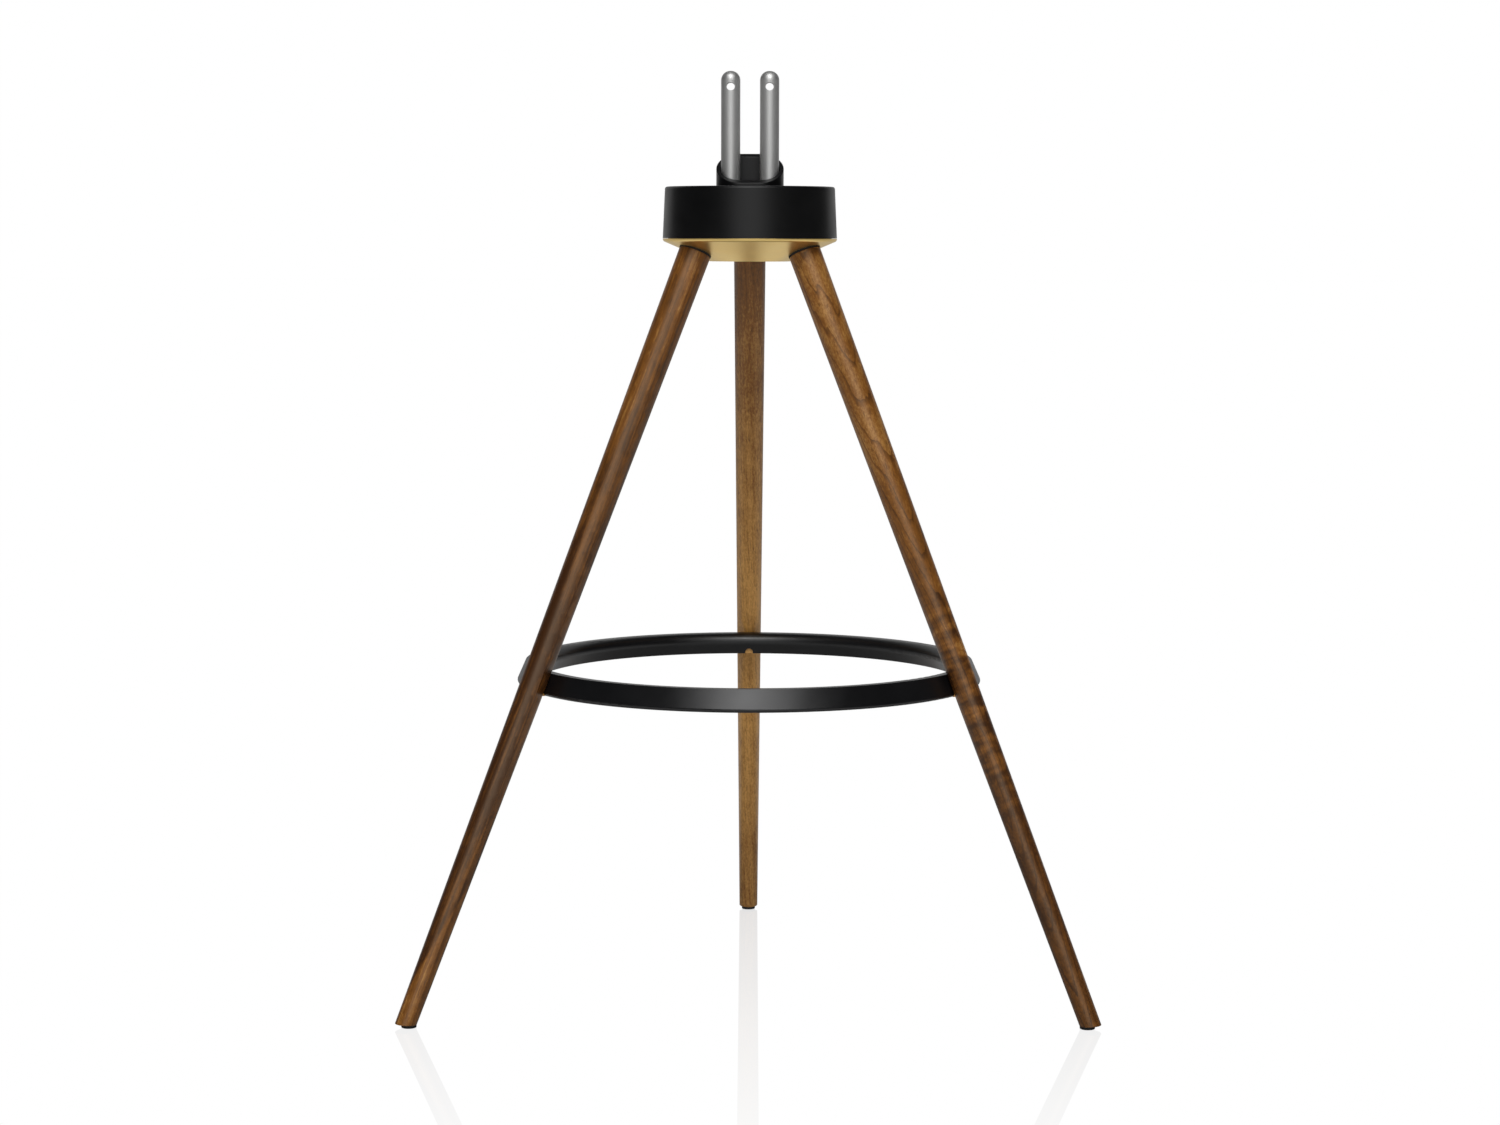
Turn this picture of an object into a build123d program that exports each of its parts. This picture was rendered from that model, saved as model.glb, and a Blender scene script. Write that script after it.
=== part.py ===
"""Tripod floor stand: three tapered wooden legs, a dish and drum head that turns, two upright pins."""
import os
from math import atan, cos, degrees, radians, sin, tan

from build123d import *

# All lengths in millimetres. Z is up and the floor is Z 0.
# The head's axis lies this far along Y from the middle of the footprint, which is the origin.
head_y = -90.78

# Legs: taper and splay, measured on the leg's own axis line
leg_top_z = 872.3
leg_top_offset = 64.5
leg_floor_offset = 439.6
leg_top_radius = 18.66
leg_floor_radius = 11.57
azimuths = {"left": 210.0, "right": 330.0, "rear": 90.0}
gasket_thickness = 1.0
gasket_radius = 18.9
splay = degrees(atan((leg_floor_offset - leg_top_offset) / leg_top_z))

# Foot pads
pad_radius = 8.5
pad_height = 3.6
pad_inset = 4.0
sole_tilt = 5.0

# Dish
dish_radius = 100.0
dish_bottom_z = 844.6
dish_flat_radius = 46.0
dish_top_z = 870.6
dish_wall = 4.0
dish_corner = 3.6
dish_lip = 0.2
skirt_radius = 94.0
skirt_wall = 3.0
skirt_top_z = 874.4
boss_radius = 36.0
boss_top_z = 874.0

# Drum, plate and pivot
drum_gap = 0.3
drum_top_z = 929.6
drum_top_radius = 97.4
drum_wall = 3.0
cover_screw_offset = 78.0
plate_radius = 94.0
plate_z = 876.0
plate_top_z = 882.0
spindle_radius = 6.0
bushing_wall = 1.5
stop_pin_radius = 3.0
stop_pin_offset = 31.0
swivel_each_way = 40.0

# Spindle and what it holds
spindle_head_z = 887.0
spindle_head_height = 5.0
spindle_end = 0.9
spring_bore = 6.4
spring_radius = 13.5
spring_cone = 0.9
spring_thickness = 1.1
nut_z = 847.0
nut_height = 9.6
nut_corner = 10.4
washer_thickness = 2.0
washer_radius = 13.0

# Upright pins and their block
prong_radius = 11.0
prong_offset = 22.25
prong_bottom_z = 896.0
prong_top_z = 1061.2
cross_hole_z = 1043.4
cross_hole_radius = 4.7
block_top_z = 922.0
block_length = 80.0
block_depth = 42.0
block_screw_spacing = (62.0, 26.0)
pocket_radius = 16.0
pocket_top_z = 893.5
set_screw_z = 911.0

# Collar
collar_half_width = 38.65
collar_radius = 28.0
bore_half_width = 33.9
bore_radius = 21.4
collar_screw_x = 36.3
collar_floor = 3.0
collar_lip = 0.7
collar_front_z = 933.4
collar_back_z = 968.4

# Hoop: a band whose walls slope like the inner side of the legs
hoop_bottom_z = 359.5
hoop_height = 24.9
hoop_outer_radius = 270.0
hoop_width = 23.5
hoop_lean = 10.95
hoop_edge = 3.0
hoop_inner_round = 10.0
slot_radius = 4.7
slot_height = 6.3

t = radians(splay)
# Where the leg's axis meets the dish's cone
cone_r = leg_top_offset + (leg_top_z - dish_bottom_z) * tan(t) + dish_flat_radius * tan(t) ** 2
cone_r = cone_r / (1 + tan(t) ** 2)
cone_z = dish_bottom_z + (cone_r - dish_flat_radius) * tan(t)
pad_r = leg_floor_offset - pad_height * tan(t) - pad_inset
rim_z = dish_bottom_z + (dish_radius - dish_flat_radius) * tan(t)
slot_z = hoop_bottom_z + slot_height - slot_radius
peg_r = leg_top_offset + (leg_top_z - slot_z) * tan(t)


def leg_radius(z):
    """Leg's radius where its axis is at height z."""
    return leg_floor_radius + (leg_top_radius - leg_floor_radius) * z / leg_top_z


def on_leg(azimuth, s):
    """Plane square to a leg's axis, s above the dish's cone; its z axis runs up the leg."""
    a = radians(azimuth)
    out = (cos(a), sin(a))
    r = cone_r - s * sin(t)
    return Plane(
        origin=(out[0] * r, out[1] * r, cone_z + s * cos(t)),
        x_dir=(-out[1], out[0], 0),
        z_dir=(-out[0] * sin(t), -out[1] * sin(t), cos(t)),
    )


def outward(azimuth, r, z):
    """Upright plane that faces outward at an azimuth, x along the tangent and y up."""
    a = radians(azimuth)
    return Plane(
        origin=(cos(a) * r, sin(a) * r, z),
        x_dir=(-sin(a), cos(a), 0),
        z_dir=(cos(a), sin(a), 0),
    )


def sole_plane(azimuth):
    """Plane of the leg's sawn foot, its outer edge a little higher."""
    a = radians(azimuth)
    tilt = radians(sole_tilt)
    return Plane(
        origin=(cos(a) * pad_r, sin(a) * pad_r, pad_height),
        x_dir=(-sin(a), cos(a), 0),
        z_dir=(-cos(a) * sin(tilt), -sin(a) * sin(tilt), cos(tilt)),
    )


def save(name, shape):
    """Move a finished piece from the head's axis to the part's origin and write it."""
    placed = shape.moved(Location((0, head_y, 0)))
    placed.label = name
    export_step(placed, "parts/" + name + ".step")


def make_dish_form():
    """Outer form of the dish, solid, used to shape what lies against it."""
    with BuildPart() as form:
        with BuildSketch(Plane.XZ):
            with BuildLine():
                Polyline(
                    (0, dish_bottom_z),
                    (dish_flat_radius, dish_bottom_z),
                    (dish_radius, rim_z),
                    (dish_radius, dish_top_z),
                    (0, dish_top_z),
                    close=True,
                )
            make_face()
        revolve(axis=Axis.Z)
    return form.part


def make_hoop_form():
    """The hoop before its slots are cut: both walls lean in towards the top, the inner edge well rounded."""
    top_z = hoop_bottom_z + hoop_height
    inner = hoop_outer_radius - hoop_width
    with BuildPart() as form:
        with BuildSketch(Plane.XZ) as section:
            with BuildLine():
                Polyline(
                    (inner, hoop_bottom_z),
                    (hoop_outer_radius, hoop_bottom_z),
                    (hoop_outer_radius - hoop_lean, top_z),
                    (inner - hoop_lean, top_z),
                    close=True,
                )
            make_face()
            inner_top = section.vertices().group_by(Axis.Z)[-1].sort_by(Axis.X)[0]
            fillet(inner_top, radius=hoop_inner_round)
            corners = section.vertices().filter_by_position(Axis.Z, hoop_bottom_z, hoop_bottom_z)
            fillet(corners, radius=hoop_edge)
            outer_top = section.vertices().group_by(Axis.Z)[-1].sort_by(Axis.X)[-1]
            fillet(outer_top, radius=hoop_edge)
        revolve(axis=Axis.Z)
    return form.part


def make_leg(azimuth, hoop_form):
    """One turned leg: straight taper, sawn foot, seat for the hoop, holes for insert, peg and screw."""
    top_s = -gasket_thickness
    low_s = -950.0
    top_r = leg_radius(cone_z + top_s * cos(t))
    low_r = leg_radius(cone_z + low_s * cos(t))
    with BuildPart() as leg:
        with Locations(on_leg(azimuth, low_s)):
            Cone(low_r, top_r, top_s - low_s, align=(Align.CENTER, Align.CENTER, Align.MIN))
        chamfer(leg.edges().sort_by(Axis.Z)[-1], length=0.6)
        split(bisect_by=sole_plane(azimuth), keep=Keep.TOP)
        chamfer(leg.faces().sort_by(Axis.Z)[0].edges(), length=0.5)
        add(hoop_form, mode=Mode.SUBTRACT)
        with BuildSketch(on_leg(azimuth, top_s)):
            Circle(6)
        extrude(amount=-26, mode=Mode.SUBTRACT)
        with BuildSketch(outward(azimuth, peg_r, slot_z)):
            Circle(slot_radius)
            with Locations((0, hoop_bottom_z - slot_z - slot_radius)):
                Rectangle(3 * slot_radius, 2 * slot_radius, mode=Mode.SUBTRACT)
        extrude(amount=-40, mode=Mode.SUBTRACT)
        with BuildSketch(Plane(origin=(cos(radians(azimuth)) * pad_r, sin(radians(azimuth)) * pad_r, 0))):
            Circle(2)
        extrude(amount=18, mode=Mode.SUBTRACT)
    return leg.part


def make_gaskets(dish_form):
    """Three thin pads, flat below on the legs' tops and hollowed above to the dish's cone."""
    with BuildPart() as gaskets:
        for azimuth in azimuths.values():
            with BuildSketch(on_leg(azimuth, -gasket_thickness)):
                Circle(gasket_radius)
                Circle(4, mode=Mode.SUBTRACT)
            extrude(amount=4)
        add(dish_form, mode=Mode.SUBTRACT)
    return gaskets.part


def make_leg_bolts():
    """Three M8 socket screws that come down through the dish along the legs' axes."""
    with BuildPart() as bolts:
        for azimuth in azimuths.values():
            with BuildSketch(on_leg(azimuth, 5.2)):
                Circle(6.5)
            extrude(amount=8)
            with BuildSketch(on_leg(azimuth, 5.2)):
                Circle(4)
            extrude(amount=-28)
        for azimuth in azimuths.values():
            with BuildSketch(on_leg(azimuth, 13.2)):
                RegularPolygon(3.46, 6)
            extrude(amount=-4.5, mode=Mode.SUBTRACT)
    return bolts.part


def make_leg_washers():
    """Three flat washers under the leg bolts' heads."""
    with BuildPart() as washers:
        for azimuth in azimuths.values():
            with BuildSketch(on_leg(azimuth, 3.6)):
                Circle(8)
                Circle(4.2, mode=Mode.SUBTRACT)
            extrude(amount=1.6)
    return washers.part


def make_leg_inserts():
    """Three threaded sleeves set in the legs' tops."""
    with BuildPart() as inserts:
        for azimuth in azimuths.values():
            with BuildSketch(on_leg(azimuth, -gasket_thickness - 0.5)):
                Circle(6)
                Circle(4, mode=Mode.SUBTRACT)
            extrude(amount=-20)
    return inserts.part


def make_dish():
    """Cast dish: conical underside, upright rim, skirt up inside the drum, boss, three spot faces."""
    rise = dish_wall / cos(t)
    inner_r = skirt_radius - skirt_wall
    floor_z = dish_bottom_z + 5
    slope_r = dish_flat_radius + (floor_z - dish_bottom_z - rise) / tan(t)
    with BuildPart() as dish:
        with BuildSketch(Plane.XZ):
            with BuildLine():
                Polyline(
                    (0, dish_bottom_z),
                    (dish_flat_radius, dish_bottom_z),
                    (dish_radius, rim_z),
                    (dish_radius, dish_top_z),
                    (skirt_radius, dish_top_z),
                    (skirt_radius, skirt_top_z),
                    (inner_r, skirt_top_z),
                    (inner_r, dish_bottom_z + rise + (inner_r - dish_flat_radius) * tan(t)),
                    (slope_r, floor_z),
                    (boss_radius, floor_z),
                    (boss_radius, boss_top_z),
                    (0, boss_top_z),
                    close=True,
                )
            make_face()
        revolve(axis=Axis.Z)
        corner = dish.edges().filter_by(GeomType.CIRCLE).filter_by_position(Axis.Z, rim_z - 0.01, rim_z + 0.01)
        fillet(corner, radius=dish_corner)
        lip = dish.edges().filter_by_position(Axis.Z, dish_top_z, dish_top_z).sort_by(SortBy.LENGTH)[-1]
        chamfer(lip, length=dish_lip)
        with Locations((0, 0, boss_top_z)):
            Hole(spindle_radius, depth=boss_top_z - dish_bottom_z)
        with BuildSketch(Plane.XY.offset(dish_bottom_z)):
            Circle(15)
        extrude(amount=14, mode=Mode.SUBTRACT)
        with BuildSketch(Plane.XY.offset(boss_top_z)):
            with Locations((0, stop_pin_offset)):
                Circle(stop_pin_radius)
        extrude(amount=-10, mode=Mode.SUBTRACT)
        for azimuth in azimuths.values():
            with BuildSketch(on_leg(azimuth, 3.6)):
                Circle(9)
            extrude(amount=3, mode=Mode.SUBTRACT)
            with BuildSketch(on_leg(azimuth, 3.6)):
                Circle(4.2)
            extrude(amount=-8, mode=Mode.SUBTRACT)
    return dish.part


def make_ring(z, height, outer, inner):
    """Plain flat ring on the head's axis."""
    with BuildPart() as ring:
        with BuildSketch(Plane.XY.offset(z)):
            Circle(outer)
            Circle(inner, mode=Mode.SUBTRACT)
        extrude(amount=height)
    return ring.part


def make_spindle():
    """Shoulder bolt from above: low head with a hex socket, long plain shank."""
    with BuildPart() as spindle:
        with BuildSketch(Plane.XY.offset(spindle_head_z)):
            Circle(11)
        extrude(amount=spindle_head_height)
        chamfer(spindle.edges().sort_by(Axis.Z)[-1], length=0.8)
        with BuildSketch(Plane.XY.offset(spindle_head_z)):
            Circle(spindle_radius)
        extrude(amount=dish_bottom_z + spindle_end - spindle_head_z)
        chamfer(spindle.edges().sort_by(Axis.Z)[0], length=1)
        with BuildSketch(Plane.XY.offset(spindle_head_z + spindle_head_height)):
            RegularPolygon(4.6, 6)
        extrude(amount=-3.2, mode=Mode.SUBTRACT)
    return spindle.part


def make_spindle_nut():
    """Lock nut on the spindle's lower end, inside the recess of the dish's underside."""
    with BuildPart() as nut:
        with BuildSketch(Plane.XY.offset(nut_z)):
            RegularPolygon(nut_corner, 6)
            Circle(spindle_radius, mode=Mode.SUBTRACT)
        extrude(amount=nut_height)
    return nut.part


def make_disc_spring():
    """Conical spring washer that presses the head down on its thrust washers."""
    with BuildPart() as spring:
        with BuildSketch(Plane.XZ):
            with BuildLine():
                Polyline(
                    (spring_bore, spindle_head_z - spring_thickness),
                    (spring_radius, spindle_head_z - spring_thickness - spring_cone),
                    (spring_radius, spindle_head_z - spring_cone),
                    (spring_bore, spindle_head_z),
                    close=True,
                )
            make_face()
        revolve(axis=Axis.Z)
    return spring.part


def make_stop_pin():
    """Pin that stands in the dish's boss and reaches into the plate's curved slot."""
    with BuildPart() as pin:
        with BuildSketch(Plane.XY.offset(boss_top_z - 10)):
            with Locations((0, stop_pin_offset)):
                Circle(stop_pin_radius)
        extrude(amount=17)
        chamfer(pin.edges().sort_by(Axis.Z)[-1], length=0.6)
    return pin.part


def make_plate():
    """Turntable plate: bushing hole, curved stop slot, holes for block and cover screws."""
    half = swivel_each_way + 0.8
    stop_path = CenterArc((0, 0), stop_pin_offset, 90 - half, 2 * half)
    with BuildPart() as plate:
        with BuildSketch(Plane.XY.offset(plate_z)):
            Circle(plate_radius)
            Circle(spindle_radius + bushing_wall + 0.05, mode=Mode.SUBTRACT)
            SlotArc(stop_path, height=2 * stop_pin_radius + 0.8, mode=Mode.SUBTRACT)
        extrude(amount=plate_top_z - plate_z)
        chamfer(plate.edges().filter_by(GeomType.CIRCLE).sort_by(SortBy.LENGTH)[-2:], length=0.6)
        with BuildSketch(Plane.XY.offset(plate_z)):
            with GridLocations(*block_screw_spacing, 2, 2):
                Circle(3)
            with PolarLocations(cover_screw_offset, 3, start_angle=30):
                Circle(2.1)
        extrude(amount=plate_top_z - plate_z, mode=Mode.SUBTRACT)
        with GridLocations(*block_screw_spacing, 2, 2):
            with Locations(Location((0, 0, plate_z + 1.5))):
                Cone(6, 3, 3, mode=Mode.SUBTRACT)
    return plate.part


def make_bushing():
    """Bronze sleeve in the plate that runs on the spindle."""
    inner = spindle_radius + 0.05
    with BuildPart() as bushing:
        with BuildSketch(Plane.XY.offset(plate_z)):
            Circle(inner + bushing_wall)
            Circle(inner, mode=Mode.SUBTRACT)
        extrude(amount=plate_top_z - plate_z)
    return bushing.part


def make_cover():
    """Drum shell: slightly tapered wall, flat top, three screw posts, holes for the upright pins."""
    bottom_z = dish_top_z + drum_gap
    with BuildPart() as cover:
        with BuildSketch(Plane.XZ):
            with BuildLine():
                Polyline(
                    (0, drum_top_z),
                    (drum_top_radius, drum_top_z),
                    (dish_radius, bottom_z),
                    (dish_radius - drum_wall, bottom_z),
                    (drum_top_radius - drum_wall, drum_top_z - drum_wall),
                    (0, drum_top_z - drum_wall),
                    close=True,
                )
            make_face()
        revolve(axis=Axis.Z)
        rims = cover.edges().filter_by(GeomType.CIRCLE)
        top_rim = rims.filter_by_position(Axis.Z, drum_top_z, drum_top_z)
        fillet(top_rim, radius=2.8)
        with BuildSketch(Plane.XY.offset(plate_top_z)):
            with PolarLocations(cover_screw_offset, 3, start_angle=30):
                Circle(6)
        extrude(amount=drum_top_z - drum_wall - plate_top_z)
        with BuildSketch(Plane.XY.offset(plate_top_z)):
            with PolarLocations(cover_screw_offset, 3, start_angle=30):
                Circle(2)
        extrude(amount=14, mode=Mode.SUBTRACT)
        with BuildSketch(Plane.XY.offset(drum_top_z)):
            with GridLocations(2 * prong_offset, 0, 2, 1):
                Circle(prong_radius + 0.4)
            with GridLocations(2 * collar_screw_x, 0, 2, 1):
                Circle(1.6)
        extrude(amount=-drum_wall, mode=Mode.SUBTRACT)
    return cover.part


def make_cover_screws():
    """Three pan-head screws up through the plate into the drum shell's posts."""
    with BuildPart() as screws:
        with BuildSketch(Plane.XY.offset(plate_z)):
            with PolarLocations(cover_screw_offset, 3, start_angle=30):
                Circle(4)
        extrude(amount=-2.6)
        fillet(screws.edges().group_by(Axis.Z)[0], radius=1.2)
        with BuildSketch(Plane.XY.offset(plate_z)):
            with PolarLocations(cover_screw_offset, 3, start_angle=30):
                Circle(2)
        extrude(amount=18)
    return screws.part


def make_block():
    """Aluminium block on the plate: sockets for the upright pins, pocket over the spindle's head."""
    with BuildPart() as block:
        with BuildSketch(Plane.XY.offset(plate_top_z)):
            RectangleRounded(block_length, block_depth, 7)
        extrude(amount=block_top_z - plate_top_z)
        chamfer(block.faces().sort_by(Axis.Z)[-1].edges(), length=1)
        with BuildSketch(Plane.XY.offset(plate_top_z)):
            Circle(pocket_radius)
        extrude(amount=pocket_top_z - plate_top_z, mode=Mode.SUBTRACT)
        with BuildSketch(Plane.XY.offset(prong_bottom_z)):
            with GridLocations(2 * prong_offset, 0, 2, 1):
                Circle(prong_radius)
        extrude(amount=block_top_z - prong_bottom_z, mode=Mode.SUBTRACT)
        with BuildSketch(Plane.XY.offset(plate_top_z)):
            with GridLocations(*block_screw_spacing, 2, 2):
                Circle(3)
        extrude(amount=12, mode=Mode.SUBTRACT)
        with BuildSketch(Plane.XZ.offset(-30)):
            with Locations((-prong_offset, set_screw_z), (prong_offset, set_screw_z)):
                Circle(3)
        extrude(amount=60, mode=Mode.SUBTRACT)
    return block.part


def make_block_screws():
    """Four countersunk screws that hold the block down on the plate."""
    with BuildPart() as screws:
        with GridLocations(*block_screw_spacing, 2, 2):
            with Locations(Location((0, 0, plate_z + 1.5))):
                Cone(6, 3, 3)
        with BuildSketch(Plane.XY.offset(plate_z + 3)):
            with GridLocations(*block_screw_spacing, 2, 2):
                Circle(3)
        extrude(amount=13)
        with BuildSketch(Plane.XY.offset(plate_z)):
            with GridLocations(*block_screw_spacing, 2, 2):
                RegularPolygon(2.3, 6)
        extrude(amount=2.4, mode=Mode.SUBTRACT)
    return screws.part


def make_set_screws():
    """Four set screws, two to each upright pin, with their tips in the pins' dimples."""
    with BuildPart() as screws:
        with BuildSketch(Plane.XZ.offset(10)):
            with Locations((-prong_offset, set_screw_z), (prong_offset, set_screw_z)):
                Circle(3)
        extrude(amount=10)
        with BuildSketch(Plane.XZ.offset(-10)):
            with Locations((-prong_offset, set_screw_z), (prong_offset, set_screw_z)):
                Circle(3)
        extrude(amount=-10)
        with BuildSketch(Plane.XZ.offset(20)):
            with Locations((-prong_offset, set_screw_z), (prong_offset, set_screw_z)):
                RegularPolygon(1.7, 6)
        extrude(amount=-3, mode=Mode.SUBTRACT)
        with BuildSketch(Plane.XZ.offset(-20)):
            with Locations((-prong_offset, set_screw_z), (prong_offset, set_screw_z)):
                RegularPolygon(1.7, 6)
        extrude(amount=3, mode=Mode.SUBTRACT)
    return screws.part


def make_prong(x):
    """Upright pin: domed top, cross hole, two dimples for the set screws."""
    with BuildPart() as prong:
        with Locations((x, 0, prong_bottom_z)):
            Cylinder(prong_radius, prong_top_z - prong_bottom_z, align=(Align.CENTER, Align.CENTER, Align.MIN))
        chamfer(prong.edges().group_by(Axis.Z)[0], length=1)
        fillet(prong.edges().group_by(Axis.Z)[-1], radius=prong_radius - 0.4)
        with BuildSketch(Plane.XZ.offset(-20)):
            with Locations((x, cross_hole_z)):
                Circle(cross_hole_radius)
        extrude(amount=40, mode=Mode.SUBTRACT)
        with BuildSketch(Plane.XZ.offset(10)):
            with Locations((x, set_screw_z)):
                Circle(3)
        extrude(amount=5, mode=Mode.SUBTRACT)
        with BuildSketch(Plane.XZ.offset(-10)):
            with Locations((x, set_screw_z)):
                Circle(3)
        extrude(amount=-5, mode=Mode.SUBTRACT)
    return prong.part


def make_collar():
    """Oval sleeve on the drum with a slanted mouth, open inside round the upright pins."""
    slope = degrees(atan((collar_back_z - collar_front_z) / (2 * collar_radius)))
    middle_z = (collar_front_z + collar_back_z) / 2
    mouth = Plane(origin=(0, 0, middle_z), x_dir=(1, 0, 0), z_dir=(0, -sin(radians(slope)), cos(radians(slope))))
    with BuildPart() as collar:
        with BuildSketch(Plane.XY.offset(drum_top_z)):
            SlotCenterToCenter(2 * (collar_half_width - collar_radius), 2 * collar_radius)
        extrude(amount=50)
        with BuildSketch(Plane.XY.offset(drum_top_z + collar_floor)):
            SlotCenterToCenter(2 * (bore_half_width - bore_radius), 2 * bore_radius)
        extrude(amount=50, mode=Mode.SUBTRACT)
        split(bisect_by=mouth, keep=Keep.BOTTOM)
        lips = collar.faces().filter_by(GeomType.PLANE).sort_by(Axis.Z)[-1].edges()
        fillet(lips, radius=collar_lip)
        with BuildSketch(Plane.XY.offset(drum_top_z)):
            with GridLocations(2 * prong_offset, 0, 2, 1):
                Circle(prong_radius + 0.4)
        extrude(amount=collar_floor, mode=Mode.SUBTRACT)
        with BuildSketch(Plane.XY.offset(drum_top_z)):
            with GridLocations(2 * collar_screw_x, 0, 2, 1):
                Circle(1.5)
        extrude(amount=9, mode=Mode.SUBTRACT)
    return collar.part


def make_liner():
    """Nylon liner on the collar's floor that centres the upright pins."""
    with BuildPart() as liner:
        with BuildSketch(Plane.XY.offset(drum_top_z + collar_floor)):
            SlotCenterToCenter(2 * (bore_half_width - bore_radius), 2 * bore_radius)
            with GridLocations(2 * prong_offset, 0, 2, 1):
                Circle(prong_radius, mode=Mode.SUBTRACT)
        extrude(amount=3.4)
    return liner.part


def make_collar_screws():
    """Two small screws up through the drum's top into the collar's ends."""
    under_z = drum_top_z - drum_wall
    with BuildPart() as screws:
        with BuildSketch(Plane.XY.offset(under_z)):
            with GridLocations(2 * collar_screw_x, 0, 2, 1):
                Circle(2.8)
        extrude(amount=-2.2)
        fillet(screws.edges().group_by(Axis.Z)[0], radius=1)
        with BuildSketch(Plane.XY.offset(under_z)):
            with GridLocations(2 * collar_screw_x, 0, 2, 1):
                Circle(1.5)
        extrude(amount=drum_wall + 8)
    return screws.part


def make_hoop(hoop_form):
    """The hoop with a round-topped slot through its lower edge at each leg."""
    with BuildPart() as hoop:
        add(hoop_form)
        for azimuth in azimuths.values():
            with BuildSketch(outward(azimuth, hoop_outer_radius + 5, slot_z)):
                Circle(slot_radius)
                with Locations((0, -5)):
                    Rectangle(2 * slot_radius, 10)
            extrude(amount=-45, mode=Mode.SUBTRACT)
    return hoop.part


def make_pegs():
    """Three wooden pegs, one from each leg, that fill the hoop's slots flush with its lower edge."""
    with BuildPart() as pegs:
        for azimuth in azimuths.values():
            with BuildSketch(outward(azimuth, peg_r, slot_z)):
                Circle(slot_radius)
                with Locations((0, hoop_bottom_z - slot_z - slot_radius)):
                    Rectangle(3 * slot_radius, 2 * slot_radius, mode=Mode.SUBTRACT)
            extrude(amount=-(peg_r - hoop_outer_radius + hoop_width - 1.5))
    return pegs.part


def make_pad(azimuth):
    """Rubber pad under one leg, flat below and cut to the leg's sawn foot above."""
    a = radians(azimuth)
    with BuildPart() as pad:
        with Locations((cos(a) * pad_r, sin(a) * pad_r, 0)):
            Cylinder(pad_radius, 8, align=(Align.CENTER, Align.CENTER, Align.MIN))
        fillet(pad.edges().sort_by(Axis.Z)[0], radius=1)
        split(bisect_by=sole_plane(azimuth), keep=Keep.BOTTOM)
        with Locations((cos(a) * pad_r, sin(a) * pad_r, 0)):
            Cylinder(3.6, 1.8, align=(Align.CENTER, Align.CENTER, Align.MIN), mode=Mode.SUBTRACT)
            Cylinder(2, 20, align=(Align.CENTER, Align.CENTER, Align.MIN), mode=Mode.SUBTRACT)
    return pad.part


def make_pad_screws():
    """Three wood screws that hold the pads, their heads sunk clear of the floor."""
    with BuildPart() as screws:
        for azimuth in azimuths.values():
            a = radians(azimuth)
            with Locations((cos(a) * pad_r, sin(a) * pad_r, 0.8)):
                Cylinder(3.4, 1, align=(Align.CENTER, Align.CENTER, Align.MIN))
                Cylinder(2, 17, align=(Align.CENTER, Align.CENTER, Align.MIN))
    return screws.part


os.makedirs("parts", exist_ok=True)
dish_form = make_dish_form()
hoop_form = make_hoop_form()
for side, azimuth in azimuths.items():
    save("leg_" + side, make_leg(azimuth, hoop_form))
    save("foot_pad_" + side, make_pad(azimuth))
save("leg_gaskets", make_gaskets(dish_form))
save("leg_bolts", make_leg_bolts())
save("leg_bolt_washers", make_leg_washers())
save("leg_inserts", make_leg_inserts())
save("foot_screws", make_pad_screws())
save("support_hoop", make_hoop(hoop_form))
save("hoop_pegs", make_pegs())
save("base_dish", make_dish())
save("spindle", make_spindle())
save("spindle_nut", make_spindle_nut())
save("nut_washer", make_ring(nut_z + nut_height, washer_thickness, washer_radius, spindle_radius))
save("thrust_washer_lower", make_ring(boss_top_z, 2, 27, 7.6))
save("thrust_washer_upper", make_ring(plate_top_z, 1.5, 14, 7.6))
save("spindle_washer", make_ring(plate_top_z + 1.5, 1.5, 14, spindle_radius))
save("disc_spring", make_disc_spring())
save("stop_pin", make_stop_pin())
save("turntable_plate", make_plate())
save("pivot_bushing", make_bushing())
save("drum_cover", make_cover())
save("cover_screws", make_cover_screws())
save("clamp_block", make_block())
save("block_screws", make_block_screws())
save("prong_set_screws", make_set_screws())
save("prong_left", make_prong(-prong_offset))
save("prong_right", make_prong(prong_offset))
save("collar", make_collar())
save("collar_liner", make_liner())
save("collar_screws", make_collar_screws())
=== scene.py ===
# Looks of a tripod floor stand: materials, light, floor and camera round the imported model
import math

import bpy
import numpy as np
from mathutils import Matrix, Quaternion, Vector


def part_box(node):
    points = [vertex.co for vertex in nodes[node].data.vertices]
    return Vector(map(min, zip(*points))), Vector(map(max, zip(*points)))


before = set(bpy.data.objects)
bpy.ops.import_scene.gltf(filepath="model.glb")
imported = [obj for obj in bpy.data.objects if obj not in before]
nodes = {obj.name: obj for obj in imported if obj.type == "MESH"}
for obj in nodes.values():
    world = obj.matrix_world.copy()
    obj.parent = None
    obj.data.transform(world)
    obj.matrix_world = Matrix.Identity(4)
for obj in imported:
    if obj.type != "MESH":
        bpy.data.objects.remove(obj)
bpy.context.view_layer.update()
headY = (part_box("spindle")[0].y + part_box("spindle")[1].y) / 2  # the upright axis that the head turns on
print("frame loaded, nodes:", len(nodes))


def toLinear(hexColour):
    # sRGB hex to linear light, with alpha 1
    parts = [int(hexColour[i:i + 2], 16) / 255 for i in (1, 3, 5)]
    return tuple(c / 12.92 if c <= 0.04045 else ((c + 0.055) / 1.055) ** 2.4 for c in parts) + (1.0,)


def addNode(tree, kind, values=None, links=None, **settings):
    # one node: settings are its properties, values and links go to its sockets
    node = tree.nodes.new(kind)
    for key, value in settings.items():
        setattr(node, key, value)
    for socket, value in (values or {}).items():
        node.inputs[socket].default_value = value
    for socket, source in (links or {}).items():
        tree.links.new(source, node.inputs[socket])
    return node


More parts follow.
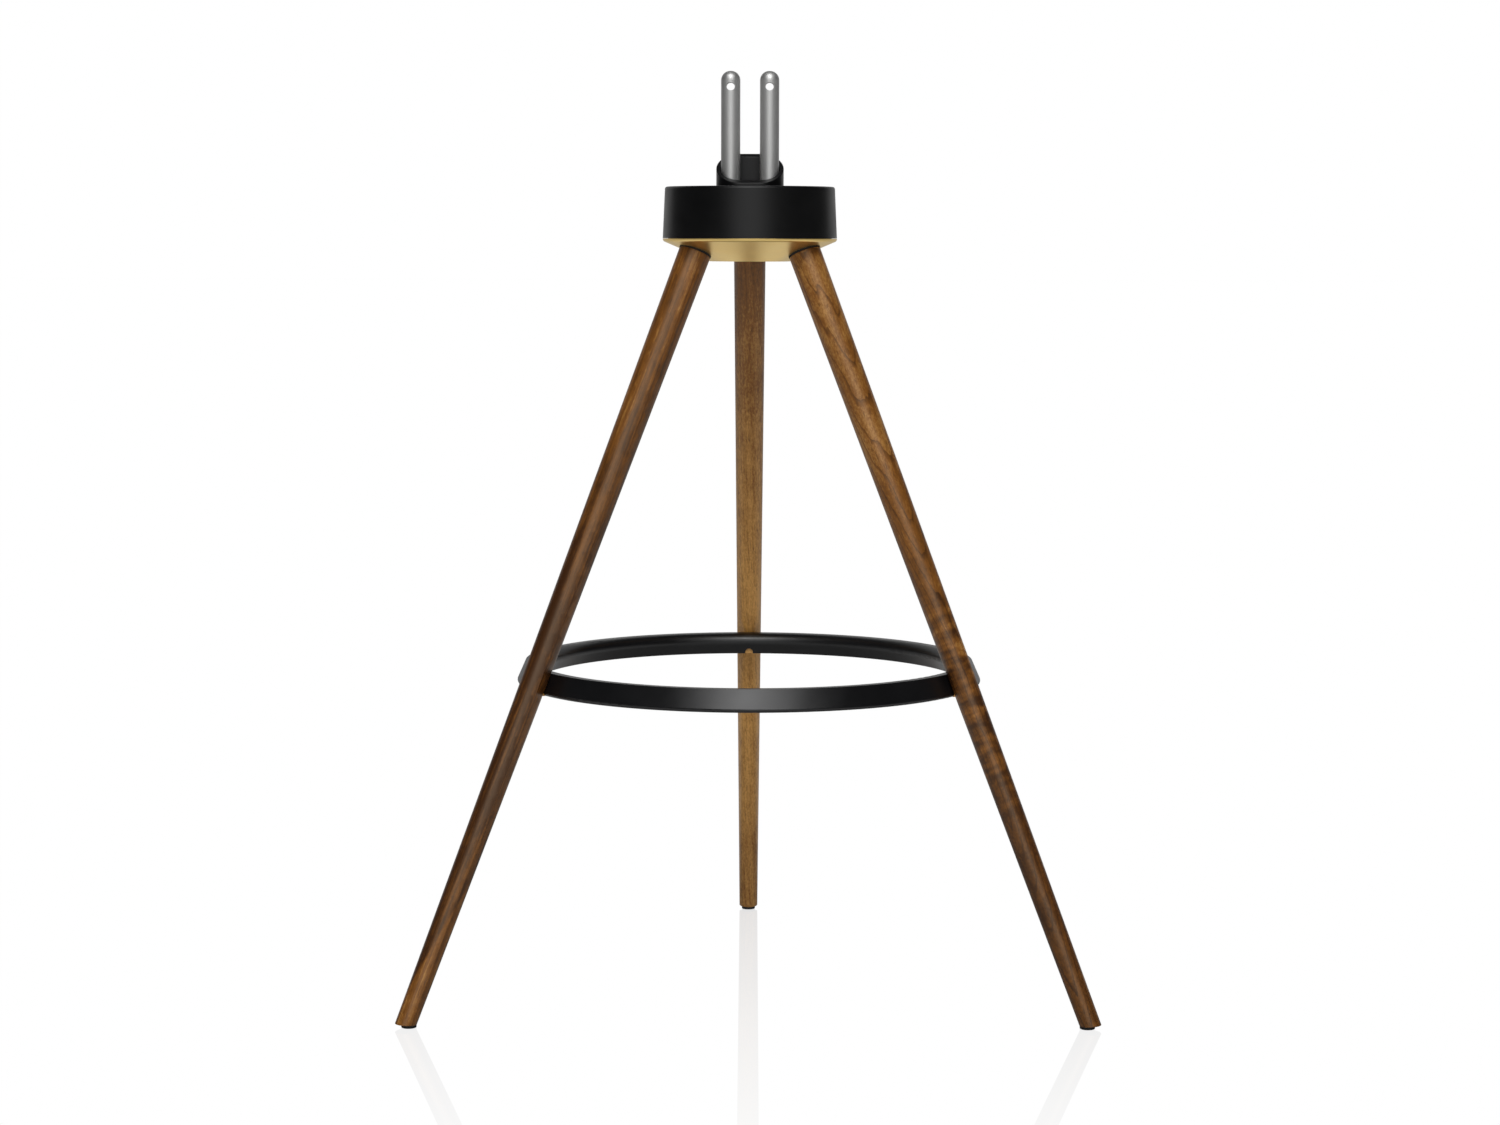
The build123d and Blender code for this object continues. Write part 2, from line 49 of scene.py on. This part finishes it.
def startMaterial(name):
    material = bpy.data.materials.new(name)
    material.use_nodes = True
    material.node_tree.nodes.clear()
    return material, material.node_tree


def finishMaterial(tree, values, links):
    shader = addNode(tree, "ShaderNodeBsdfPrincipled", values, links)
    addNode(tree, "ShaderNodeOutputMaterial", links={"Surface": shader.outputs[0]})


def dress(material, *names):
    for name in names:
        mesh = nodes[name].data
        mesh.materials.clear()
        mesh.materials.append(material)


# Stained walnut, turned on a lathe and lacquered satin: long brown streaks with a warm, lighter figure.
# Lengths in metres. A ring is a slow rise in tone that ends in a thin dark line.
walnut = {
    "dark": "#3c1f07", "body": "#7e4e1b", "light": "#d09b55", "pore": "#2a1608",
    "bodyPlace": 0.48,  # where the body colour stands between dark (0) and light (1)
    "pithAway": 0.055, "swayDepth": 0.016,
    "ringSpacing": 0.0048, "ringDistortion": 1.2, "ringDetail": 2, "ringDetailScale": 0.6,
    "ringFrom": 0.8, "ringTo": 0.99, "ringLift": 0.03,
    "poreStrength": 0.55, "streakRelief": 0.5, "bumpDepth": 0.00004,
    "smooth": 0.32, "rough": 0.46, "gloss": 0.75, "lacquer": "#ffe6c8",
}
# The layers of the grain, each a noise. width is a spot's size across the leg and cells how many fit in
# it, squeeze is the pattern's scale along X, Y and up the leg, and tilt turns it. Where the noise runs
# from low to high, the layer runs from its darkest to its lightest.
grain = {
    # slow waves that the rings follow
    "sway": {"width": 0.025, "cells": 0.95, "squeeze": (1, 1, 0.12), "detail": 2, "roughness": 0.5},
    # fibres: long thin streaks
    "streaks": {"width": 0.0016, "cells": 0.6, "squeeze": (1, 1, 0.0016 / 0.075),
                "detail": 5, "roughness": 0.62, "low": 0.3, "high": 0.7},
    # broad bands of darker and lighter heartwood
    "bands": {"width": 0.01, "cells": 0.95, "squeeze": (1, 1, 0.06),
              "detail": 3, "roughness": 0.5, "low": 0.3, "high": 0.7},
    # figure: patches where the fibres turn and catch the light
    "figure": {"width": 0.016, "cells": 0.8, "squeeze": (1, 1, 0.55), "tilt": (0.5, 0.35, 0),
               "detail": 3, "roughness": 0.58, "distortion": 0.6, "low": 0.3, "high": 0.7},
    # the cut ends of small vessels, drawn about three times their real size so that they show
    "speckle": {"width": 0.0021, "cells": 1, "squeeze": (1, 1, 0.55),
                "detail": 3, "roughness": 0.6, "low": 0.35, "high": 0.65},
    # curly grain: irregular bands across the leg
    "curl": {"width": 0.008, "cells": 0.75, "squeeze": (0.3, 0.3, 1), "tilt": (0.35, 0, 0),
             "detail": 2, "roughness": 0.5, "low": 0.35, "high": 0.65},
    # open pores: short dark dashes along the grain, drawn about twice their real size
    "pores": {"width": 0.0007, "cells": 0.7, "squeeze": (1, 1, 0.0007 / 0.009),
              "detail": 1, "roughness": 0.5, "low": 0.6, "high": 0.72},
}
# A leg's own frame has its Z axis up the leg: splay is the axis's lean from upright in radians, centre
# the height of the frame's origin on the head's axis, and foot and top the leg's ends on that Z axis.
legLine = {"splay": 0.4061, "centre": 1.0, "foot": -1.092, "top": -0.143}
# Each leg's wood. azimuth is the way it stands in degrees, pithSide the way to its pith in radians, slope
# the lean of its grain and shift its place in the pattern. streaks, bands, figure, speckle and rings are
# the layers' strengths. The painted shading is a list of pairs of place up the leg (0 foot, 1 top) and tone
# there (0 dark, 1 light), slant tips their edges, and curl gives the curly grain's strength in the same way.
# This shading is painted light and shade, not the wood's colour. The front legs are painted darker lower
# down, where less key light reaches them, and the right leg lighter at the top for its highlight. The rear
# leg is painted dark at the top, in the dish's shade, and lighter in the middle, where it leans up to the key.
legs = {
    "leg_left": {
        "azimuth": 210, "pithSide": 0.7, "slope": 0.015, "shift": 3.1,
        "streaks": 0.2, "bands": 0.19, "figure": 0.12, "speckle": 0.05, "rings": 0.1, "slant": (4.9, -2.85),
        "paintedShading": [(0.0, 0.28), (0.11, 0.36), (0.148, 0.34), (0.166, 0.02), (0.22, 0.1), (0.35, 0.07),
                  (0.6, 0.05), (0.74, 0.12), (0.88, 0.31), (1.0, 0.37)]},
    "leg_right": {
        "azimuth": 330, "pithSide": -1.25, "slope": 0.08, "shift": 8.7,
        "streaks": 0.05, "bands": 0.07, "figure": 0.1, "speckle": 0.09, "rings": 0.32, "slant": (0, 0),
        "paintedShading": [(0.0, 0.2), (0.18, 0.08), (0.35, 0.13), (0.56, 0.35), (0.75, 0.5), (1.0, 0.53)],
        "curl": [(0.24, 0.0), (0.34, 0.3), (0.47, 0.3), (0.58, 0.0)]},
    "leg_rear": {
        "azimuth": 90, "pithSide": 0.2, "slope": 0.05, "shift": 14.2,
        "streaks": 0.08, "bands": 0.1, "figure": 0.1, "speckle": 0.11, "rings": 0.12, "slant": (0, 0),
        "paintedShading": [(0.03, 0.66), (0.23, 0.84), (0.48, 0.88), (0.71, 0.72), (0.82, 0.54), (1.0, 0.34)]},
}


def setStops(ramp, stops):
    # first and last stop are the ramp's own two, the others are added between them
    for element, (place, colour) in zip(ramp.elements, (stops[0], stops[-1])):
        element.position = place
        element.color = colour
    for place, colour in stops[1:-1]:
        ramp.elements.new(place).color = colour


def makeWalnut(name, leg):
    material, tree = startMaterial(name)
    place = addNode(tree, "ShaderNodeTexCoord")
    turned = addNode(tree, "ShaderNodeMapping", {
        "Location": (0, headY, legLine["centre"]),
        "Rotation": (0, -legLine["splay"], math.radians(leg["azimuth"])),
    }, {"Vector": place.outputs["Object"]}, vector_type="TEXTURE")
    # the tree's own place: its pith runs beside the leg
    pith = addNode(tree, "ShaderNodeMapping", {
        "Location": (walnut["pithAway"] * math.cos(leg["pithSide"]),
                     walnut["pithAway"] * math.sin(leg["pithSide"]), leg["shift"]),
        "Rotation": (leg["slope"], leg["slope"] / 2, 0),
    }, {"Vector": turned.outputs[0]})
    noises = {}
    for layer, look in grain.items():
        if layer == "curl" and "curl" not in leg:
            continue
        squeezed = addNode(tree, "ShaderNodeMapping", {
            "Rotation": look.get("tilt", (0, 0, 0)), "Scale": look["squeeze"],
        }, {"Vector": pith.outputs[0]})
        noises[layer] = addNode(tree, "ShaderNodeTexNoise", {
            "Scale": look["cells"] / look["width"], "Detail": look["detail"],
            "Roughness": look["roughness"], "Distortion": look.get("distortion", 0),
        }, {"Vector": squeezed.outputs[0]})
    # growth rings round the pith
    swayed = addNode(tree, "ShaderNodeVectorMath", {3: walnut["swayDepth"]},
                     {0: noises["sway"].outputs["Color"]}, operation="SCALE")
    ringPlace = addNode(tree, "ShaderNodeVectorMath", None,
                        {0: pith.outputs[0], 1: swayed.outputs[0]}, operation="ADD")
    rings = addNode(tree, "ShaderNodeTexWave", {
        "Scale": math.pi / 10 / walnut["ringSpacing"], "Distortion": walnut["ringDistortion"],
        "Detail": walnut["ringDetail"], "Detail Scale": walnut["ringDetailScale"],
    }, {"Vector": ringPlace.outputs[0]}, wave_type="RINGS", rings_direction="Z", wave_profile="SAW")
    # the grain's tone: rings and layers added up
    grainTone = addNode(tree, "ShaderNodeMapRange", {
        1: walnut["ringFrom"], 2: walnut["ringTo"], 3: walnut["ringLift"], 4: -leg["rings"],
    }, {0: rings.outputs["Fac"]})
    for layer in ("streaks", "bands", "figure", "speckle"):
        layerTone = addNode(tree, "ShaderNodeMapRange", {
            1: grain[layer]["low"], 2: grain[layer]["high"], 3: -leg[layer], 4: leg[layer],
        }, {0: noises[layer].outputs["Fac"]})
        grainTone = addNode(tree, "ShaderNodeMath", None,
                            {0: grainTone.outputs[0], 1: layerTone.outputs[0]}, operation="ADD")
    # each leg is painted darker and lighter along its length: painted light and shade for the key light's fall
    # down the legs and the shade under the dish
    upLeg = addNode(tree, "ShaderNodeVectorMath", {1: (*leg["slant"], 1)}, {0: turned.outputs[0]},
                    operation="DOT_PRODUCT")
    along = addNode(tree, "ShaderNodeMapRange", {1: legLine["foot"], 2: legLine["top"]},
                    {0: upLeg.outputs["Value"]})
    paintedShadingTone = addNode(tree, "ShaderNodeValToRGB", None, {0: along.outputs[0]})
    paintedShadingTone.color_ramp.interpolation = "EASE"
    setStops(paintedShadingTone.color_ramp, [(spot, (grey, grey, grey, 1)) for spot, grey in leg["paintedShading"]])
    if "curl" in leg:
        curlTone = addNode(tree, "ShaderNodeMapRange", {
            1: grain["curl"]["low"], 2: grain["curl"]["high"], 3: -1.0, 4: 1.0,
        }, {0: noises["curl"].outputs["Fac"]})
        strength = addNode(tree, "ShaderNodeValToRGB", None, {0: along.outputs[0]})
        setStops(strength.color_ramp, [(spot, (grey, grey, grey, 1)) for spot, grey in leg["curl"]])
        grainTone = addNode(tree, "ShaderNodeMath", None, {
            0: curlTone.outputs[0], 1: strength.outputs[0], 2: grainTone.outputs[0],
        }, operation="MULTIPLY_ADD")
    tone = addNode(tree, "ShaderNodeMath", None, {0: grainTone.outputs[0], 1: paintedShadingTone.outputs[0]},
                   operation="ADD", use_clamp=True)
    colours = addNode(tree, "ShaderNodeValToRGB", None, {0: tone.outputs[0]})
    setStops(colours.color_ramp, [
        (0, toLinear(walnut["dark"])), (walnut["bodyPlace"], toLinear(walnut["body"])),
        (1, toLinear(walnut["light"]))])
    pores = addNode(tree, "ShaderNodeMapRange", {
        1: grain["pores"]["low"], 2: grain["pores"]["high"], 3: 0.0, 4: walnut["poreStrength"],
    }, {0: noises["pores"].outputs["Fac"]})
    pored = addNode(tree, "ShaderNodeMix", {7: toLinear(walnut["pore"])},
                    {0: pores.outputs[0], 6: colours.outputs[0]}, data_type="RGBA")
    # where the streaks are light the lacquer is a little duller and the surface a little higher
    dull = addNode(tree, "ShaderNodeMapRange", {3: walnut["smooth"], 4: walnut["rough"]},
                   {0: noises["streaks"].outputs["Fac"]})
    relief = addNode(tree, "ShaderNodeMath", {1: walnut["streakRelief"]},
                     {0: noises["streaks"].outputs["Fac"]}, operation="MULTIPLY")
    height = addNode(tree, "ShaderNodeMath", None, {0: relief.outputs[0], 1: pores.outputs[0]},
                     operation="SUBTRACT")
    bump = addNode(tree, "ShaderNodeBump", {"Strength": 1.0, "Distance": walnut["bumpDepth"]},
                   {"Height": height.outputs[0]})
    finishMaterial(tree, {
        "Specular IOR Level": walnut["gloss"], "Specular Tint": toLinear(walnut["lacquer"]),
    }, {"Base Color": pored.outputs[2], "Roughness": dull.outputs[0], "Normal": bump.outputs[0]})
    return material


for legName, leg in legs.items():
    dress(makeWalnut("stainedWalnut_" + legName, leg), legName)
dress(bpy.data.materials["stainedWalnut_leg_rear"], "hoop_pegs")
print("walnut done")

# The other finishes: each is one base tone in soft patches, with a fine surface relief. spread is how far
# the tone strays, unevenness how far the roughness does, cloud and relief are the sizes of the patches
# and of the relief, and depth the relief's height, in metres. gloss is the usual 0.5 unless given.
finishes = {
    # steel, powder coated and baked: deep satin black with a faint orange-peel
    "blackPowderCoat": {"base": "#060607", "spread": 0.25, "roughness": 0.34, "unevenness": 0.05,
                        "metallic": 0, "gloss": 0.36, "relief": 0.0016, "depth": 0.000012, "cloud": 0.05,
                        "nodes": ["drum_cover", "collar"]},
    # glass-filled nylon, moulded: smooth satin black
    "mouldedNylonSatin": {"base": "#0b0b0d", "spread": 0.25, "roughness": 0.33, "unevenness": 0.05,
                          "metallic": 0, "relief": 0.0014, "depth": 0.000012, "cloud": 0.06,
                          "nodes": ["support_hoop"]},
    # aluminium, fine turned and anodised brass tone: soft warm sheen
    "brassToneAnodised": {"base": "#f5d487", "spread": 0.05, "roughness": 0.33, "unevenness": 0.05,
                          "metallic": 1, "relief": 0.0009, "depth": 0.000006, "cloud": 0.03,
                          "nodes": ["base_dish"]},
    # aluminium, bead blasted and clear anodised: even, silky grey
    "blastedAluminium": {"base": "#cdcdcc", "spread": 0.015, "roughness": 0.53, "unevenness": 0.015,
                         "metallic": 1, "relief": 0.0007, "depth": 0.000007, "cloud": 0.03,
                         "nodes": ["prong_left", "prong_right"]},
    # aluminium, milled
    "milledAluminium": {"base": "#c9cacb", "spread": 0.06, "roughness": 0.28, "unevenness": 0.08,
                        "metallic": 1, "relief": 0.0012, "depth": 0.00001, "cloud": 0.012,
                        "nodes": ["clamp_block"]},
    # steel, bright zinc plated
    "zincPlatedSteel": {"base": "#bcc0c4", "spread": 0.08, "roughness": 0.27, "unevenness": 0.08,
                        "metallic": 1, "relief": 0.001, "depth": 0.000008, "cloud": 0.01,
                        "nodes": ["leg_bolt_washers", "foot_screws", "spindle", "spindle_nut", "nut_washer",
                                  "spindle_washer", "disc_spring", "stop_pin", "turntable_plate",
                                  "cover_screws", "collar_screws"]},
    # steel, black oxide
    "blackOxideSteel": {"base": "#26272a", "spread": 0.15, "roughness": 0.38, "unevenness": 0.08,
                        "metallic": 1, "relief": 0.0008, "depth": 0.000008, "cloud": 0.008,
                        "nodes": ["leg_bolts", "block_screws", "prong_set_screws"]},
    # nitrile rubber, moulded matt
    "mouldedRubber": {"base": "#141516", "spread": 0.2, "roughness": 0.72, "unevenness": 0.08,
                      "metallic": 0, "relief": 0.0006, "depth": 0.00002, "cloud": 0.01,
                      "nodes": ["foot_pad_left", "foot_pad_right", "foot_pad_rear", "leg_gaskets"]},
    # nylon, moulded matt
    "mouldedNylonMatt": {"base": "#17181a", "spread": 0.15, "roughness": 0.55, "unevenness": 0.06,
                         "metallic": 0, "relief": 0.0008, "depth": 0.000012, "cloud": 0.01,
                         "nodes": ["collar_liner"]},
    # acetal, turned from natural rod
    "naturalAcetal": {"base": "#e6e4da", "spread": 0.04, "roughness": 0.4, "unevenness": 0.05,
                      "metallic": 0, "relief": 0.001, "depth": 0.000008, "cloud": 0.01,
                      "nodes": ["thrust_washer_lower", "thrust_washer_upper"]},
    # bronze, sintered and oiled
    "sinteredBronze": {"base": "#a97b4a", "spread": 0.15, "roughness": 0.45, "unevenness": 0.1,
                       "metallic": 1, "relief": 0.0005, "depth": 0.00002, "cloud": 0.004,
                       "nodes": ["pivot_bushing"]},
    # brass, turned
    "turnedBrass": {"base": "#d9b566", "spread": 0.08, "roughness": 0.3, "unevenness": 0.06,
                    "metallic": 1, "relief": 0.0006, "depth": 0.00001, "cloud": 0.006,
                    "nodes": ["leg_inserts"]},
}
# what the finishes share; From and To are the noise's values where a patch is darkest and lightest
surface = {"cloudDetail": 3, "cloudRoughness": 0.5, "cloudFrom": 0.3, "cloudTo": 0.7,
           "reliefDetail": 2, "reliefRoughness": 0.6}


def makeFinish(name, finish):
    material, tree = startMaterial(name)
    place = addNode(tree, "ShaderNodeTexCoord")
    cloud = addNode(tree, "ShaderNodeTexNoise", {
        "Scale": 1 / finish["cloud"], "Detail": surface["cloudDetail"], "Roughness": surface["cloudRoughness"],
    }, {"Vector": place.outputs["Object"]})
    relief = addNode(tree, "ShaderNodeTexNoise", {
        "Scale": 1 / finish["relief"], "Detail": surface["reliefDetail"],
        "Roughness": surface["reliefRoughness"],
    }, {"Vector": place.outputs["Object"]})
    base = toLinear(finish["base"])
    low = tuple(c * (1 - finish["spread"]) for c in base[:3]) + (1,)
    high = tuple(min(1, c * (1 + finish["spread"])) for c in base[:3]) + (1,)
    tone = addNode(tree, "ShaderNodeMapRange", {1: surface["cloudFrom"], 2: surface["cloudTo"]},
                   {0: cloud.outputs["Fac"]})
    colour = addNode(tree, "ShaderNodeMix", {6: low, 7: high}, {0: tone.outputs[0]}, data_type="RGBA")
    dull = addNode(tree, "ShaderNodeMapRange", {
        1: surface["cloudFrom"], 2: surface["cloudTo"],
        3: finish["roughness"] - finish["unevenness"], 4: finish["roughness"] + finish["unevenness"],
    }, {0: cloud.outputs["Fac"]})
    bump = addNode(tree, "ShaderNodeBump", {"Strength": 1.0, "Distance": finish["depth"]},
                   {"Height": relief.outputs["Fac"]})
    finishMaterial(tree, {
        "Specular IOR Level": finish.get("gloss", 0.5), "Metallic": finish["metallic"],
    }, {"Base Color": colour.outputs[2], "Roughness": dull.outputs[0], "Normal": bump.outputs[0]})
    return material


for finishName, finish in finishes.items():
    dress(makeFinish(finishName, finish), *finish["nodes"])
print("finishes done")

# Floor: a wide pale sheet, its far side rising in one sweep. It is white where it is looked at, and a
# soft grey where it lights the stand: a dim glow below it, which is a painted shadow of the stand,
# glowRound in a ring, glowFar beyond. The From and To values are distances from the head's axis, and for
# the mirror places along Y, in metres.
floor = {
    "halfWidth": 9.0, "front": -9.0, "back": 5.0, "sweep": 3.0, "sweepSteps": 25, "rise": 6.0,
    "colour": "#6c6c6b", "roughness": 0.6, "seenWhite": 1.0,
    "paintedShadowGlow": 0.16, "glowRound": 0.74, "glowFar": 0.33,
    "riseFrom": 0.45, "riseTo": 0.76, "fadeFrom": 0.75, "fadeTo": 1.4,
    "mirror": 0.25, "mirrorFrom": -1.1, "mirrorTo": 0.34,
}


def addLook(tree):
    # 1 where a surface is looked at, straight or in the floor's sharp reflection, 0 where it only lights
    path = addNode(tree, "ShaderNodeLightPath")
    return addNode(tree, "ShaderNodeMath", None, {
        0: path.outputs["Is Camera Ray"], 1: path.outputs["Is Singular Ray"]}, operation="MAXIMUM")


def makeFloor():
    # a profile (flat, quarter circle, upright) carried along X
    turn = np.linspace(0, math.pi / 2, floor["sweepSteps"])
    y = np.concatenate([[floor["front"]], floor["back"] + floor["sweep"] * np.sin(turn),
                        [floor["back"] + floor["sweep"]]])
    z = np.concatenate([[0.0], floor["sweep"] * (1 - np.cos(turn)), [floor["sweep"] + floor["rise"]]])
    x = np.array([-floor["halfWidth"], floor["halfWidth"]])
    points = np.stack([np.repeat(x, len(y)), np.tile(y, 2), np.tile(z, 2)], axis=1)
    i = np.arange(len(y) - 1)
    faces = np.stack([i, i + len(y), i + len(y) + 1, i + 1], axis=1)
    mesh = bpy.data.meshes.new("paleFloor")
    mesh.from_pydata(points.tolist(), [], faces.tolist())
    mesh.shade_smooth()
    sheet = bpy.data.objects.new("paleFloor", mesh)
    bpy.context.collection.objects.link(sheet)
    material, tree = startMaterial("palePaper")
    place = addNode(tree, "ShaderNodeTexCoord")
    away = addNode(tree, "ShaderNodeVectorMath", {1: (0, headY, 0)}, {0: place.outputs["Object"]},
                   operation="DISTANCE")
    # the glow is dim close under the stand: a painted shadow of the stand
    rise = addNode(tree, "ShaderNodeMapRange", {
        1: floor["riseFrom"], 2: floor["riseTo"], 3: floor["paintedShadowGlow"], 4: floor["glowRound"],
    }, {0: away.outputs["Value"]}, interpolation_type="SMOOTHSTEP")
    fade = addNode(tree, "ShaderNodeMapRange", {
        1: floor["fadeFrom"], 2: floor["fadeTo"], 3: 0.0, 4: floor["glowRound"] - floor["glowFar"],
    }, {0: away.outputs["Value"]}, interpolation_type="SMOOTHSTEP")
    glow = addNode(tree, "ShaderNodeMath", None, {0: rise.outputs[0], 1: fade.outputs[0]},
                   operation="SUBTRACT")
    paper = addNode(tree, "ShaderNodeBsdfPrincipled", {
        "Base Color": toLinear(floor["colour"]), "Roughness": floor["roughness"],
        "Emission Color": (1, 1, 1, 1),
    }, {"Emission Strength": glow.outputs[0]})
    white = addNode(tree, "ShaderNodeEmission", {"Color": (1, 1, 1, 1), "Strength": floor["seenWhite"]})
    # faint gloss: a share of what is looked at is mirrored, less towards the front
    mirror = addNode(tree, "ShaderNodeBsdfAnisotropic", {"Color": (1, 1, 1, 1), "Roughness": 0.0})
    spot = addNode(tree, "ShaderNodeSeparateXYZ", None, {0: place.outputs["Object"]})
    share = addNode(tree, "ShaderNodeMapRange", {
        1: floor["mirrorFrom"], 2: floor["mirrorTo"], 3: 0.0, 4: floor["mirror"],
    }, {0: spot.outputs[1]})
    glossed = addNode(tree, "ShaderNodeMixShader", None, {
        0: share.outputs[0], 1: white.outputs[0], 2: mirror.outputs[0]})
    both = addNode(tree, "ShaderNodeMixShader", None, {
        0: addLook(tree).outputs[0], 1: paper.outputs[0], 2: glossed.outputs[0]})
    addNode(tree, "ShaderNodeOutputMaterial", links={"Surface": both.outputs[0]})
    mesh.materials.append(material)


makeFloor()
print("floor done")

# Light: a dark room with a strong key box high in front, a wider and weaker box below it, a soft fill
# straight in front and a pale wall far behind. A lift is in degrees above level. From and Full are the
# cosines of the angle off a patch's middle where it starts and where it is at full strength.
light = {
    "room": 0.05, "seenWhite": 1.0, "wall": 0.75, "wallFrom": 0.55, "wallFull": 0.97,
    "key": 6.0, "keyLift": 54, "keyFrom": 0.92, "keyFull": 0.99,
    "fill": 0.86, "fillFrom": 0.82, "fillFull": 0.985,
    "box": 1.25, "boxLift": 35, "boxFrom": 0.86, "boxFull": 0.985,
}


def makeLight():
    world = bpy.data.worlds.new("softStudio")
    bpy.context.scene.world = world
    world.use_nodes = True
    tree = world.node_tree
    tree.nodes.clear()
    way = addNode(tree, "ShaderNodeTexCoord")

    def addPatch(middle, start, full, low, high):
        # brightness that grows from low to high towards one direction
        near = addNode(tree, "ShaderNodeVectorMath", {1: middle}, {0: way.outputs["Generated"]},
                       operation="DOT_PRODUCT")
        return addNode(tree, "ShaderNodeMapRange", {1: start, 2: full, 3: low, 4: high},
                       {0: near.outputs["Value"]}, interpolation_type="SMOOTHSTEP")

    keyLift = math.radians(light["keyLift"])
    boxLift = math.radians(light["boxLift"])
    wall = addPatch((0, 1, 0), light["wallFrom"], light["wallFull"], light["room"], light["wall"])
    key = addPatch((0, -math.cos(keyLift), math.sin(keyLift)), light["keyFrom"], light["keyFull"], 0.0,
                   light["key"])
    fill = addPatch((0, -1, 0), light["fillFrom"], light["fillFull"], 0.0, light["fill"])
    box = addPatch((0, -math.cos(boxLift), math.sin(boxLift)), light["boxFrom"], light["boxFull"], 0.0,
                   light["box"])
    total = wall
    for patch in (key, fill, box):
        total = addNode(tree, "ShaderNodeMath", None, {0: patch.outputs[0], 1: total.outputs[0]},
                        operation="ADD")
    studio = addNode(tree, "ShaderNodeBackground", {"Color": (1, 1, 1, 1)}, {"Strength": total.outputs[0]})
    plain = addNode(tree, "ShaderNodeBackground", {"Color": (1, 1, 1, 1), "Strength": light["seenWhite"]})
    both = addNode(tree, "ShaderNodeMixShader", None, {
        0: addLook(tree).outputs[0], 1: studio.outputs[0], 2: plain.outputs[0]})
    addNode(tree, "ShaderNodeOutputWorld", links={"Surface": both.outputs[0]})


makeLight()
print("light done")

# Camera: in front, level with the drum, looking a little down. lens and sensor are in millimetres, away
# and height in metres, and down, roll and turn in radians.
view = {"lens": 78.42, "sensor": 36, "away": 3.7698, "height": 0.8698,
        "down": 0.0986, "roll": 0.0022, "turn": -0.00026}
lens = bpy.data.cameras.new("frontLens")
lens.lens = view["lens"]
lens.sensor_width = view["sensor"]
camera = bpy.data.objects.new("frontCamera", lens)
bpy.context.collection.objects.link(camera)
camera.location = (0, headY - view["away"], view["height"])
camera.rotation_mode = "QUATERNION"
camera.rotation_quaternion = (Quaternion((0, 0, 1), view["turn"])
                              @ Quaternion((1, 0, 0), math.pi / 2 - view["down"])
                              @ Quaternion((0, 0, 1), view["roll"]))
bpy.context.scene.camera = camera
bpy.context.scene.view_settings.view_transform = "Standard"
print("camera done")
